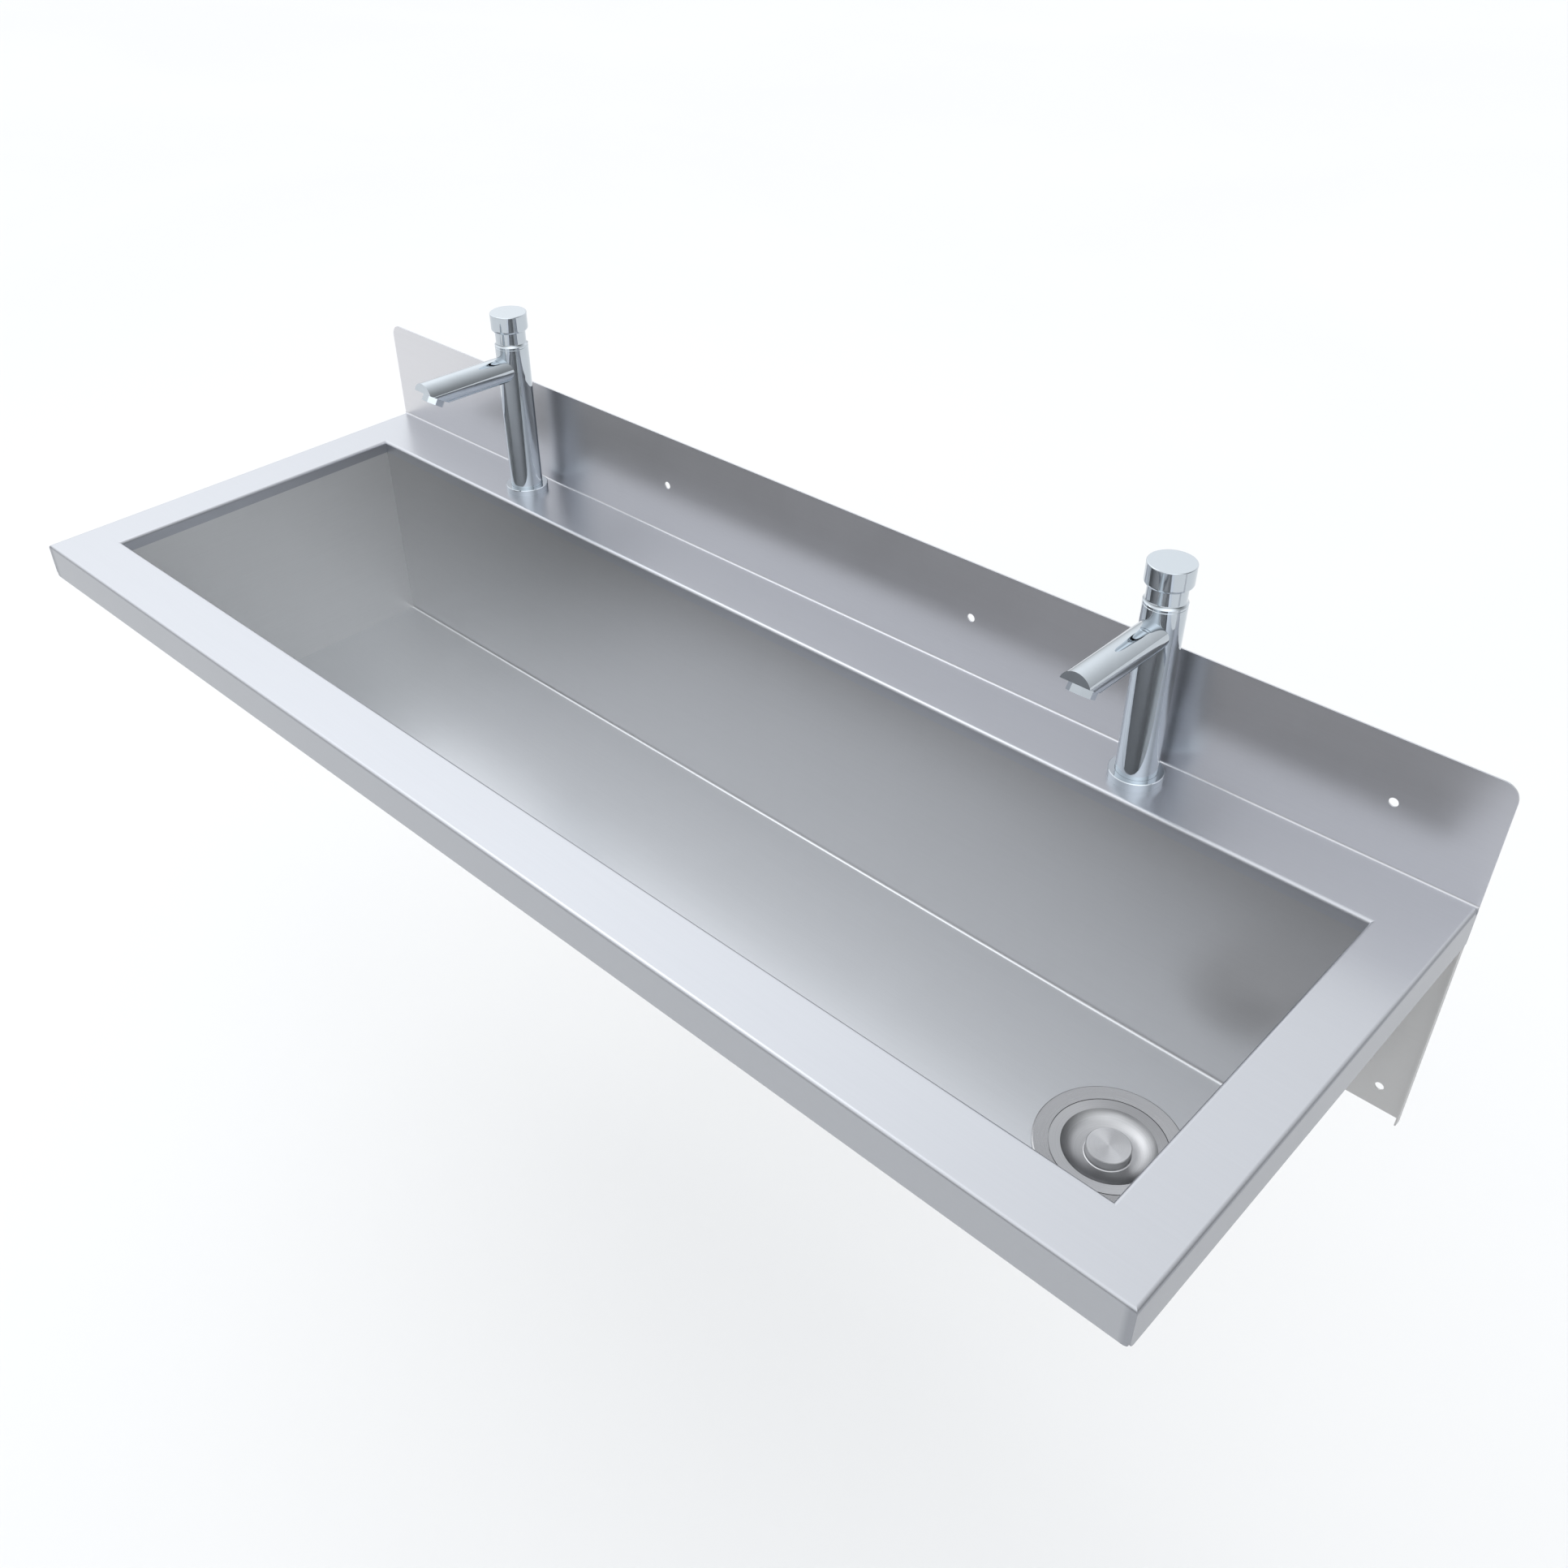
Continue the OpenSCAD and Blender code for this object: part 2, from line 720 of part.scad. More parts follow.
// Stem and piston, pressed into the button's hub
module tap_plunger() {
  piston_r = chamber_d / 2 - fit_gap - cartridge_wall - running_gap;
  color("darkkhaki") {
    translate([0, 0, stem_foot_z]) cylinder(d = stem_d, h = stem_top_z - stem_foot_z);
    translate([0, 0, stem_foot_z]) cylinder(r = piston_r, h = piston_h);
  }
}

module tap_aerator_shell() {
  color("lightsteelblue") at_outlet() difference() {
    union() {
      translate([0, 0, -aerator_h]) rotate(180 / aerator_flats)
        cylinder(d = aerator_d, h = aerator_h, $fn = aerator_flats);
      cylinder(d = outlet_socket_d - 2 * thread_gap, h = outlet_socket_h - fit_gap);
    }
    translate([0, 0, -aerator_h - overrun])
      cylinder(d = aerator_bore_d, h = aerator_h + outlet_socket_h + 2 * overrun);
  }
}

// Flow straightener with rings of small jets
module tap_aerator_insert() {
  color("white") at_outlet() translate([0, 0, insert_inset - aerator_h]) difference() {
    cylinder(d = aerator_bore_d - 2 * fit_gap, h = insert_h);
    for (ring = jet_rings, i = [0:ring[0] - 1])
      rotate(i * 360 / ring[0]) translate([ring[1], 0, -overrun])
        cylinder(d = jet_d, h = insert_h + 2 * overrun, $fn = 16);
  }
}

// Washer or nut blank round both inlet threads, below the ledge
module under_ledge(drop, t, d, sides) {
  for (side = ends) at_tap(side)
    translate([0, 0, -sheet_t - drop - t]) difference() {
      cylinder(d = d, h = t, $fn = sides);
      translate([0, 0, -overrun]) cylinder(d = inlet_d + 2 * thread_gap, h = t + 2 * overrun);
    }
}

module tap_rubber_washers() {
  color("dimgray") under_ledge(0, rubber_washer_t, washer_d, $fn);
}

module tap_steel_washers() {
  color("silver") under_ledge(rubber_washer_t, steel_washer_t, washer_d, $fn);
}

module tap_backnuts() {
  color("darkkhaki") under_ledge(rubber_washer_t + steel_washer_t, backnut_h, backnut_d, 6);
}

// Flange, lid recess and cup, turned from one outline
module waste_body() {
  flange_r = flange_d / 2;
  crown_z = flange_seal_t + flange_crown_t;
  base_z = -cup_depth;
  out_r = outlet_d / 2;
  color("silver") at_waste() rotate_extrude() polygon([
    [flange_r, flange_seal_t], [flange_r, flange_seal_t + flange_edge_t],
    [flange_r - flange_bevel, crown_z], [recess_r, lid_top_z], [recess_r, shoulder_z],
    [cup_in_r, shoulder_z], [cup_in_r, base_z + cup_cone_h], [out_r - outlet_wall, base_z],
    [out_r - outlet_wall, base_z - cup_wall], [out_r, base_z - cup_wall],
    [cup_r, base_z + cup_cone_h - cup_wall],
    [cup_r, shoulder_z - shoulder_t], [shoulder_r, shoulder_z - shoulder_t],
    [shoulder_r, flange_seal_t]
  ]);
}

module waste_ring(low_z, t, in_r, out_r) {
  at_waste() translate([0, 0, low_z]) difference() {
    cylinder(r = out_r, h = t);
    translate([0, 0, -overrun]) cylinder(r = in_r, h = t + 2 * overrun);
  }
}

// Threaded outlet, welded to the foot of the cup
module waste_tail() {
  color("silver")
    waste_ring(-cup_depth - outlet_len, outlet_len - cup_wall, outlet_d / 2 - outlet_wall, outlet_d / 2);
}

module waste_flange_seal() {
  color("dimgray")
    waste_ring(0, flange_seal_t, floor_hole_r, flange_d / 2 - flange_seal_inset);
}

module waste_gasket() {
  color("dimgray") waste_ring(-sheet_t - gasket_t, gasket_t, shoulder_r + gasket_gap, gasket_d / 2);
}

module waste_friction_ring() {
  color("whitesmoke")
    waste_ring(-sheet_t - gasket_t - friction_t, friction_t, cup_r + fit_gap, gasket_d / 2);
}

module waste_clamp_nut() {
  low_z = -sheet_t - gasket_t - friction_t - clamp_nut_h;
  color("darkgray") {
    waste_ring(low_z, clamp_nut_h, cup_r + thread_gap, clamp_nut_d / 2);
    at_waste() for (i = [0:lug_count - 1])
      rotate(i * 360 / lug_count) translate([clamp_nut_d / 2 - lug_out / 2, -lug_w / 2, low_z])
        cube([lug_out * 1.5, lug_w, clamp_nut_h]);
  }
}

// Perforated basket that hangs by its rim in the waste's recess
module strainer_basket() {
  rim_r = recess_r - fit_gap * 6;
  foot_z = shoulder_z - basket_depth;
  color("silver") at_waste() {
    difference() {
      rotate_extrude() polygon([
        [rim_r, shoulder_z], [rim_r, shoulder_z + basket_t],
        [basket_r - basket_t, shoulder_z + basket_t], [basket_r - basket_t, foot_z],
        [basket_r, foot_z], [basket_r, shoulder_z]
      ]);
      for (share = basket_side_rise_shares, i = [0:basket_side_holes - 1])
        translate([0, 0, foot_z + share * basket_depth]) rotate(i * 360 / basket_side_holes)
          translate([basket_r - basket_hole_d, 0, 0]) rotate([0, 90, 0])
            cylinder(d = basket_hole_d, h = 2 * basket_hole_d);
    }
    translate([0, 0, foot_z]) linear_extrude(basket_t) difference() {
      circle(basket_r - basket_t);
      for (ring = basket_rings, i = [0:ring[0] - 1])
        rotate(i * 360 / ring[0]) translate([ring[1], 0]) circle(d = basket_hole_d);
    }
  }
}

// Spun lid: a flat rim, a round bowl and a flat seat that carries the knob
module lid_dish() {
  under_z = seat_z - lid_t;
  color("silver") at_waste() rotate_extrude() difference() {
    union() {
      plate([seat_r, lid_top_z - lid_t], [lid_d / 2, lid_top_z]);
      plate([0, under_z], [seat_r, seat_z]);
      intersection() {
        translate([seat_r, seat_z + dish_r]) circle(dish_r + lid_t);
        plate([seat_r, under_z], [lid_d / 2, lid_top_z]);
      }
    }
    intersection() {
      translate([seat_r, seat_z + dish_r]) circle(dish_r);
      plate([seat_r, under_z], [lid_d / 2, lid_top_z + overrun]);
    }
    plate([-overrun, under_z - overrun], [screw_d / 2 + thread_gap, seat_z + overrun]);
  }
}

module lid_knob() {
  r = knob_d / 2;
  h = dish_depth + knob_proud;
  color("silver") at_waste() translate([0, 0, seat_z]) rotate_extrude() difference() {
    union() {
      polygon([[0, 0], [r, 0], [r, h - knob_bevel], [r - knob_bevel, h], [0, h]]);
      difference() {
        plate([0, 0], [r + knob_flare_r, knob_flare_r]);
        translate([r + knob_flare_r, knob_flare_r]) circle(knob_flare_r);
      }
    }
    plate([-overrun, -overrun], [screw_d / 2, screw_tap_h]);
  }
}

module lid_screw() {
  under_z = seat_z - lid_t;
  color("gray") at_waste() {
    translate([0, 0, under_z - screw_head_h]) cylinder(d = screw_head_d, h = screw_head_h);
    translate([0, 0, under_z])
      cylinder(d = screw_d - 2 * thread_gap, h = lid_t + screw_tap_h - fit_gap);
  }
}

top_sheet();
basin_trough();
basin_end(left);  // basin_end_left
basin_end(right);  // basin_end_right
rear_panel();
at_tap(left) tap_body();  // tap_body_left
at_tap(left) tap_base_ring();  // tap_base_ring_left
at_tap(left) tap_base_seal();  // tap_base_seal_left
at_tap(left) tap_shank();  // tap_shank_left
at_tap(left) tap_cartridge();  // tap_cartridge_left
at_tap(left) tap_cartridge_seal();  // tap_cartridge_seal_left
at_tap(left) tap_bonnet();  // tap_bonnet_left
at_tap(left) tap_spring();  // tap_spring_left
at_tap(left) tap_button();  // tap_button_left
at_tap(left) tap_plunger();  // tap_plunger_left
at_tap(left) tap_aerator_shell();  // tap_aerator_shell_left
at_tap(left) tap_aerator_insert();  // tap_aerator_insert_left
at_tap(right) tap_body();  // tap_body_right
at_tap(right) tap_base_ring();  // tap_base_ring_right
at_tap(right) tap_base_seal();  // tap_base_seal_right
at_tap(right) tap_shank();  // tap_shank_right
at_tap(right) tap_cartridge();  // tap_cartridge_right
at_tap(right) tap_cartridge_seal();  // tap_cartridge_seal_right
at_tap(right) tap_bonnet();  // tap_bonnet_right
at_tap(right) tap_spring();  // tap_spring_right
at_tap(right) tap_button();  // tap_button_right
at_tap(right) tap_plunger();  // tap_plunger_right
at_tap(right) tap_aerator_shell();  // tap_aerator_shell_right
at_tap(right) tap_aerator_insert();  // tap_aerator_insert_right
tap_rubber_washers();
tap_steel_washers();
tap_backnuts();
waste_body();
waste_tail();
waste_flange_seal();
waste_gasket();
waste_friction_ring();
waste_clamp_nut();
strainer_basket();
lid_dish();
lid_knob();
lid_screw();
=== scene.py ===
import math

import bpy
from mathutils import Matrix, Vector


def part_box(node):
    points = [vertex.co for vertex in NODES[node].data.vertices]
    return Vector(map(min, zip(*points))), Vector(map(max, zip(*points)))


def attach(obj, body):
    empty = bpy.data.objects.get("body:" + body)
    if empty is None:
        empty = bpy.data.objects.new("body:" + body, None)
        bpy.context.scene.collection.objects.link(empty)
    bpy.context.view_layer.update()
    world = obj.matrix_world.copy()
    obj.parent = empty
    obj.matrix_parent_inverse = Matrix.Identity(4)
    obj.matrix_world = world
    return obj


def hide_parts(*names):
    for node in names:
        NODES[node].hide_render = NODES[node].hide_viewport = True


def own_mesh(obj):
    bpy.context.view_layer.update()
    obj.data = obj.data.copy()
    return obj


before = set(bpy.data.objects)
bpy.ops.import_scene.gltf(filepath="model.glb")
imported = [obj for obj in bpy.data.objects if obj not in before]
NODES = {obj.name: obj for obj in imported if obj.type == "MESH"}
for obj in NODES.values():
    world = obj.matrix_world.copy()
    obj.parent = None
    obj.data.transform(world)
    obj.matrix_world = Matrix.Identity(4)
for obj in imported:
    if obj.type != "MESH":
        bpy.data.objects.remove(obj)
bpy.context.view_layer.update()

bl_info = {
    "name": "Trough Sink",
    "version": (1, 0, 0),
    "blender": (4, 5, 0),
    "location": "View3D > Sidebar > Sink",
    "description": "Finishes a wall-hung trough sink with push-button taps and a basket waste",
    "category": "Object",
}

SIDES = ("left", "right")
APRON_HEIGHT = 0.033
SHEET_LOW, SHEET_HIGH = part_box("top_sheet")
RIM_Z = SHEET_LOW.z + APRON_HEIGHT
SINK_END = SHEET_HIGH.x
SINK_FRONT = SHEET_LOW.y
WHITE = (1, 1, 1, 1)
UP = Vector((0, 0, 1))


def axis_of(node):
    """Middle of a turned node, seen from above."""
    low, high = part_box(node)
    return ((low.x + high.x) / 2, (low.y + high.y) / 2)


def shade(colour, share):
    """Colour made lighter or darker, with its alpha."""
    return tuple(min(1.0, c * share) for c in colour) + (1.0,)


class SteelSettings(bpy.types.PropertyGroup):
    rim_colour: bpy.props.FloatVectorProperty(
        name="Rim colour", description="Steel of the rim, aprons and splashback",
        subtype="COLOR", size=3, min=0, max=1, default=(0.525, 0.54, 0.575))
    basin_colour: bpy.props.FloatVectorProperty(
        name="Basin colour", description="Steel of the basin",
        subtype="COLOR", size=3, min=0, max=1, default=(0.64, 0.66, 0.69))
    # Painted light: the end plates' colour is a lighter copy of the basin's steel, standing in for
    # more light on them.
    end_colour_and_painted_light: bpy.props.FloatVectorProperty(
        name="End plate colour", description="Steel of the basin's end plates",
        subtype="COLOR", size=3, min=0, max=1, default=(0.79, 0.795, 0.79))
    panel_colour: bpy.props.FloatVectorProperty(
        name="Panel colour", description="Duller steel of the panel behind the basin",
        subtype="COLOR", size=3, min=0, max=1, default=(0.48, 0.48, 0.48))
    # Painted light: this share lightens the splashback above the rim's colour, standing in for the
    # brighter surroundings it reflects.
    splash_painted_light: bpy.props.FloatVectorProperty(
        name="Splashback tint", description="Tone of the splashback, as a share of the rim's",
        subtype="COLOR", size=3, min=0, max=1.4, default=(1.32, 1.28, 1.24))
    # Painted shade: this share darkens the front apron below the rim's colour, standing in for the
    # darker surroundings it reflects.
    apron_painted_shade: bpy.props.FloatVectorProperty(
        name="Apron tint", description="Tone of the front apron, as a share of the rim's",
        subtype="COLOR", size=3, min=0, max=1, default=(0.80, 0.80, 0.795))
    # Painted shade: this share darkens the end aprons below the rim's colour, standing in for the
    # darker surroundings they reflect.
    side_painted_shade: bpy.props.FloatVectorProperty(
        name="Side tint", description="Tone of the aprons at the ends, as a share of the rim's",
        subtype="COLOR", size=3, min=0, max=1, default=(0.60, 0.605, 0.615))
    # Painted shade: this share darkens the basin's upright walls against its floor, standing in for
    # less light on them.
    wall_painted_shade: bpy.props.FloatVectorProperty(
        name="Basin wall tint", description="Tone of the basin's walls, as a share of its floor's",
        subtype="COLOR", size=3, min=0, max=1, default=(0.85, 0.825, 0.80))
    sheet_roughness: bpy.props.FloatProperty(
        name="Sheet roughness", description="Roughness of the satin sheet",
        min=0.05, max=1, default=0.30)
    grain_length: bpy.props.FloatProperty(
        name="Grain length", description="Length of the brushed grain's marks",
        unit="LENGTH", min=0.005, max=0.5, default=0.05)
    grain_width: bpy.props.FloatProperty(
        name="Grain width", description="Width of the brushed grain's marks",
        unit="LENGTH", min=0.0002, max=0.01, default=0.0009)


class TapSettings(bpy.types.PropertyGroup):
    chrome_colour: bpy.props.FloatVectorProperty(
        name="Chrome colour", description="Plated surfaces of the taps",
        subtype="COLOR", size=3, min=0, max=1, default=(0.53, 0.575, 0.615))
    chrome_roughness: bpy.props.FloatProperty(
        name="Chrome roughness", description="Roughness of the plating",
        min=0.0, max=0.5, default=0.035)
    brass_colour: bpy.props.FloatVectorProperty(
        name="Brass colour", description="Inlets, backnuts and stems",
        subtype="COLOR", size=3, min=0, max=1, default=(0.70, 0.53, 0.26))
    spring_colour: bpy.props.FloatVectorProperty(
        name="Spring colour", description="Wire of the return springs",
        subtype="COLOR", size=3, min=0, max=1, default=(0.45, 0.45, 0.46))
    washer_colour: bpy.props.FloatVectorProperty(
        name="Washer colour", description="Steel washers under the ledge",
        subtype="COLOR", size=3, min=0, max=1, default=(0.52, 0.52, 0.53))
    rubber_colour: bpy.props.FloatVectorProperty(
        name="Rubber colour", description="Seals and rubber washers",
        subtype="COLOR", size=3, min=0, max=1, default=(0.03, 0.03, 0.03))
    plastic_colour: bpy.props.FloatVectorProperty(
        name="Plastic colour", description="Cartridges and flow straighteners",
        subtype="COLOR", size=3, min=0, max=1, default=(0.80, 0.80, 0.78))
    inlet_pitch: bpy.props.FloatProperty(
        name="Inlet pitch", description="Pitch of the G 1/2 thread",
        unit="LENGTH", min=0.0005, max=0.005, default=0.001814)
    spring_wire: bpy.props.FloatProperty(
        name="Spring wire", description="Thickness of the return spring's wire",
        unit="LENGTH", min=0.0005, max=0.003, default=0.0016)
    spring_turns: bpy.props.IntProperty(
        name="Spring turns", description="Turns of the return spring", min=2, max=20, default=6)


class WasteSettings(bpy.types.PropertyGroup):
    flange_colour: bpy.props.FloatVectorProperty(
        name="Flange colour", description="Steel of the waste, basket and lid",
        subtype="COLOR", size=3, min=0, max=1, default=(0.53, 0.535, 0.55))
    fixing_colour: bpy.props.FloatVectorProperty(
        name="Fixing colour", description="Duller steel of the clamp nut and the knob's screw",
        subtype="COLOR", size=3, min=0, max=1, default=(0.5, 0.5, 0.51))
    seal_colour: bpy.props.FloatVectorProperty(
        name="Seal colour", description="Rubber of the flange seal and the gasket",
        subtype="COLOR", size=3, min=0, max=1, default=(0.03, 0.03, 0.03))
    ring_colour: bpy.props.FloatVectorProperty(
        name="Friction ring colour", description="Plastic of the friction ring",
        subtype="COLOR", size=3, min=0, max=1, default=(0.78, 0.78, 0.76))
    ring_pitch: bpy.props.FloatProperty(
        name="Ring pitch", description="Distance between the rings left by spinning",
        unit="LENGTH", min=0.0001, max=0.005, default=0.0009)
    outlet_pitch: bpy.props.FloatProperty(
        name="Outlet pitch", description="Pitch of the G 1 1/2 thread",
        unit="LENGTH", min=0.0005, max=0.005, default=0.002309)


class StageSettings(bpy.types.PropertyGroup):
    floor_drop: bpy.props.FloatProperty(
        name="Floor drop", description="Height of the rim above the floor",
        unit="LENGTH", min=0.5, max=1.5, default=0.85)
    floor_reach: bpy.props.FloatProperty(
        name="Floor reach", description="Distance from the sink to each edge of the floor",
        unit="LENGTH", min=3, max=50, default=12)
    floor_colour: bpy.props.FloatVectorProperty(
        name="Floor colour", description="Plain pale floor",
        subtype="COLOR", size=3, min=0, max=1, default=(0.80, 0.80, 0.80))
    sky_colour: bpy.props.FloatVectorProperty(
        name="Sky colour", description="Colour of the light from all around",
        subtype="COLOR", size=3, min=0, max=1, default=(0.97, 0.985, 1.0))
    sky_focus: bpy.props.FloatProperty(
        name="Sky focus", description="Narrowness of the sky's soft lobes",
        min=1, max=20, default=4)
    sky_even: bpy.props.FloatProperty(
        name="Even light", description="World strength from all sides", min=0, max=2, default=0.085)
    sky_left: bpy.props.FloatProperty(
        name="Light from the left", description="World strength low on the left",
        min=0, max=4, default=0.84)
    sky_back: bpy.props.FloatProperty(
        name="Light from behind left", description="World strength above the left end of the wall",
        min=0, max=4, default=0.86)
    sky_above: bpy.props.FloatProperty(
        name="Light from above", description="World strength overhead",
        min=0, max=4, default=0.54)
    sky_wall: bpy.props.FloatProperty(
        name="Light from the wall", description="World strength low behind the sink",
        min=0, max=4, default=1.02)
    sky_front: bpy.props.FloatProperty(
        name="Light from front left", description="World strength in front, above the left end",
        min=0, max=4, default=0.96)
    sky_right: bpy.props.FloatProperty(
        name="Light from front right", description="World strength in front, above the right end",
        min=0, max=4, default=1.95)
    key_power: bpy.props.FloatProperty(
        name="Key light", description="Power of the large soft lamp",
        unit="POWER", min=0, max=500, default=6)
    lens: bpy.props.FloatProperty(
        name="Lens", description="Focal length of the camera",
        unit="CAMERA", min=10, max=200, default=34.453)
    azimuth: bpy.props.FloatProperty(
        name="Azimuth", description="Direction of the camera round the sink, in degrees",
        default=44.56)
    elevation: bpy.props.FloatProperty(
        name="Elevation", description="Height of the camera above the horizon, in degrees",
        default=37.02)
    roll: bpy.props.FloatProperty(
        name="Roll", description="Roll of the camera, in degrees", default=-1.08)
    place: bpy.props.FloatVectorProperty(
        name="Place", description="Place of the camera", subtype="TRANSLATION", unit="LENGTH",
        size=3, default=(0.7711, -0.8644, 0.6271))
    shift: bpy.props.FloatVectorProperty(
        name="Shift", description="Shift of the picture's middle, in picture widths",
        size=2, default=(0.02355, -0.00688))


class Net:
    """A node tree with short calls for adding and joining nodes."""

    def __init__(self, tree):
        self.tree = tree

    def add(self, kind, inputs=None, **fields):
        """New node with its fields set and its named sockets given a value or joined."""
        node = self.tree.nodes.new(kind)
        for name, value in fields.items():
            setattr(node, name, value)
        for name, value in (inputs or {}).items():
            self.put(node, name, value)
        return node

    def put(self, node, name, value):
        self.fill(node.inputs[name], value)

    def fill(self, socket, value):
        """Joins a socket to the value, or sets it where the value is a constant."""
        if isinstance(value, bpy.types.NodeSocket):
            self.tree.links.new(value, socket)
        else:
            socket.default_value = value

    def math(self, operation, a, b=0.0, c=0.0):
        return self.add("ShaderNodeMath", {0: a, 1: b, 2: c}, operation=operation).outputs[0]

    def vector(self, operation, a, b=(0, 0, 0), out=0):
        return self.add("ShaderNodeVectorMath", {0: a, 1: b}, operation=operation).outputs[out]

    def group(self, tree, inputs=None):
        """Outputs of a shared group."""
        return self.add("ShaderNodeGroup", inputs, node_tree=tree).outputs

    def marks(self, size, spot):
        """Clouds and spots of handling, of these sizes."""
        return self.group(handling_group(), {"Size": size, "Spot Size": spot})

    def span(self, value, low, high, to_low=0.0, to_high=1.0):
        return self.add("ShaderNodeMapRange", {
            "Value": value, "From Min": low, "From Max": high, "To Min": to_low, "To Max": to_high,
        }).outputs["Result"]

    def around(self, mask, middle, less, more):
        """Value that a mask moves from less below middle to more above it."""
        return self.span(mask, low=0, high=1, to_low=middle - less, to_high=middle + more)

    def blend(self, mask, a, b):
        node = self.add("ShaderNodeMix", data_type="RGBA")
        for name, value in (("Factor", mask), ("A", a), ("B", b)):
            self.fill(next(s for s in node.inputs if s.name == name and s.enabled), value)
        return next(s for s in node.outputs if s.enabled)

    def mix(self, share, a, b):
        """Weighted sum of two masks, the first by this share."""
        return self.math("MULTIPLY_ADD", a, share, self.math("MULTIPLY", b, 1 - share))

    def tones(self, mask, colour, dark, light):
        """Colour that a mask moves from a darker share of itself to a lighter one."""
        return self.blend(mask, shade(colour, dark), shade(colour, light))

    def place(self):
        """Place on the piece, in metres."""
        return self.add("ShaderNodeTexCoord").outputs["Object"]


def new_group(name, inputs, outputs):
    """Empty shader node group with named float or vector sockets."""
    tree = bpy.data.node_groups.new(name, "ShaderNodeTree")
    for label, value in inputs.items():
        kind = "NodeSocketVector" if isinstance(value, tuple) else "NodeSocketFloat"
        tree.interface.new_socket(label, in_out="INPUT", socket_type=kind).default_value = value
    for label in outputs:
        tree.interface.new_socket(label, in_out="OUTPUT", socket_type="NodeSocketFloat")
    net = Net(tree)
    return net, net.add("NodeGroupInput").outputs, net.add("NodeGroupOutput")


def grain_group():
    """Marks of a brushed or rolled sheet, stretched along one way."""
    name = "Sheet grain"
    if name in bpy.data.node_groups:
        return bpy.data.node_groups[name]
    net, given, out = new_group(name, {"Cell": (0.09, 0.0016, 0.0016)}, ("Mask", "Height"))
    spot = net.vector("DIVIDE", net.place(), given["Cell"])
    coarse = net.add("ShaderNodeTexNoise", {
        "Vector": spot, "Scale": 0.5, "Detail": 3.0, "Roughness": 0.6})
    fine = net.add("ShaderNodeTexNoise", {
        "Vector": spot, "Scale": 1.6, "Detail": 4.0, "Roughness": 0.7})
    both = net.mix(0.55, coarse.outputs[0], fine.outputs[0])
    net.put(out, "Mask", net.span(both, low=0.32, high=0.68))
    net.put(out, "Height", fine.outputs[0])
    return net.tree


def handling_group():
    """Broad clouds left by cleaning and handling, and small spots."""
    name = "Handling marks"
    if name in bpy.data.node_groups:
        return bpy.data.node_groups[name]
    net, given, out = new_group(name, {"Size": 0.12, "Spot Size": 0.01}, ("Clouds", "Spots"))
    place = net.place()
    cloud = net.add("ShaderNodeTexNoise", {
        "Vector": place, "Scale": net.math("DIVIDE", 1.0, given["Size"]),
        "Detail": 5.0, "Roughness": 0.55, "Distortion": 0.6})
    spot = net.add("ShaderNodeTexNoise", {
        "Vector": place, "Scale": net.math("DIVIDE", 1.0, given["Spot Size"]), "Detail": 2.0})
    net.put(out, "Clouds", net.span(cloud.outputs[0], low=0.35, high=0.68))
    net.put(out, "Spots", net.span(spot.outputs[0], low=0.62, high=0.74))
    return net.tree


def spun_group():
    """Fine rings of a piece spun or turned about an upright axis."""
    name = "Spun rings"
    if name in bpy.data.node_groups:
        return bpy.data.node_groups[name]
    net, given, out = new_group(name, {"Axis": (0.0, 0.0, 0.0), "Pitch": 0.001}, ("Mask", "Height"))
    arm = net.vector("MULTIPLY", net.vector("SUBTRACT", net.place(), given["Axis"]), (1, 1, 0))
    reach = net.vector("LENGTH", arm, out="Value")
    turn = net.math("DIVIDE", reach, given["Pitch"])
    ring = net.add(
        "ShaderNodeTexNoise", {"W": turn, "Scale": 1.0, "Detail": 3.0, "Roughness": 0.7},
        noise_dimensions="1D")
    net.put(out, "Mask", net.span(ring.outputs[0], low=0.3, high=0.7))
    net.put(out, "Height", ring.outputs[0])
    return net.tree


def thread_group():
    """Helical thread about an upright axis."""
    name = "Screw thread"
    if name in bpy.data.node_groups:
        return bpy.data.node_groups[name]
    net, given, out = new_group(
        name, {"Axis": (0.0, 0.0, 0.0), "Pitch": 0.0018}, ("Mask", "Height"))
    arm = net.vector("SUBTRACT", net.place(), given["Axis"])
    part = net.add("ShaderNodeSeparateXYZ", {"Vector": arm}).outputs
    angle = net.math("DIVIDE", net.math("ARCTAN2", part["Y"], part["X"]), math.tau)
    turn = net.math("ADD", net.math("DIVIDE", part["Z"], given["Pitch"]), angle)
    wave = net.math("PINGPONG", turn, 0.5)
    net.put(out, "Height", net.math("MULTIPLY", wave, 2.0))
    net.put(out, "Mask", net.span(wave, low=0.0, high=0.2, to_low=1.0, to_high=0.0))
    return net.tree


def level_group():
    """One on level faces and zero on upright ones, from the true normal."""
    name = "Level faces"
    if name in bpy.data.node_groups:
        return bpy.data.node_groups[name]
    net, _, out = new_group(name, {}, ("Mask",))
    normal = net.add("ShaderNodeNewGeometry").outputs["True Normal"]
    rise = net.add("ShaderNodeSeparateXYZ", {"Vector": normal}).outputs["Z"]
    net.put(out, "Mask", net.span(net.math("ABSOLUTE", rise), low=0.45, high=0.95))
    return net.tree


def start_material(name, colour, metallic=0.0):
    """Node material with nothing but its Principled shader joined to the output."""
    material = bpy.data.materials.new(name)
    material.use_nodes = True
    material.diffuse_color = (*colour, 1)
    material.node_tree.nodes.clear()
    net = Net(material.node_tree)
    shader = net.add("ShaderNodeBsdfPrincipled")
    shader.inputs["Metallic"].default_value = metallic
    output = net.add("ShaderNodeOutputMaterial")
    net.tree.links.new(shader.outputs[0], output.inputs[0])
    return material, net, shader


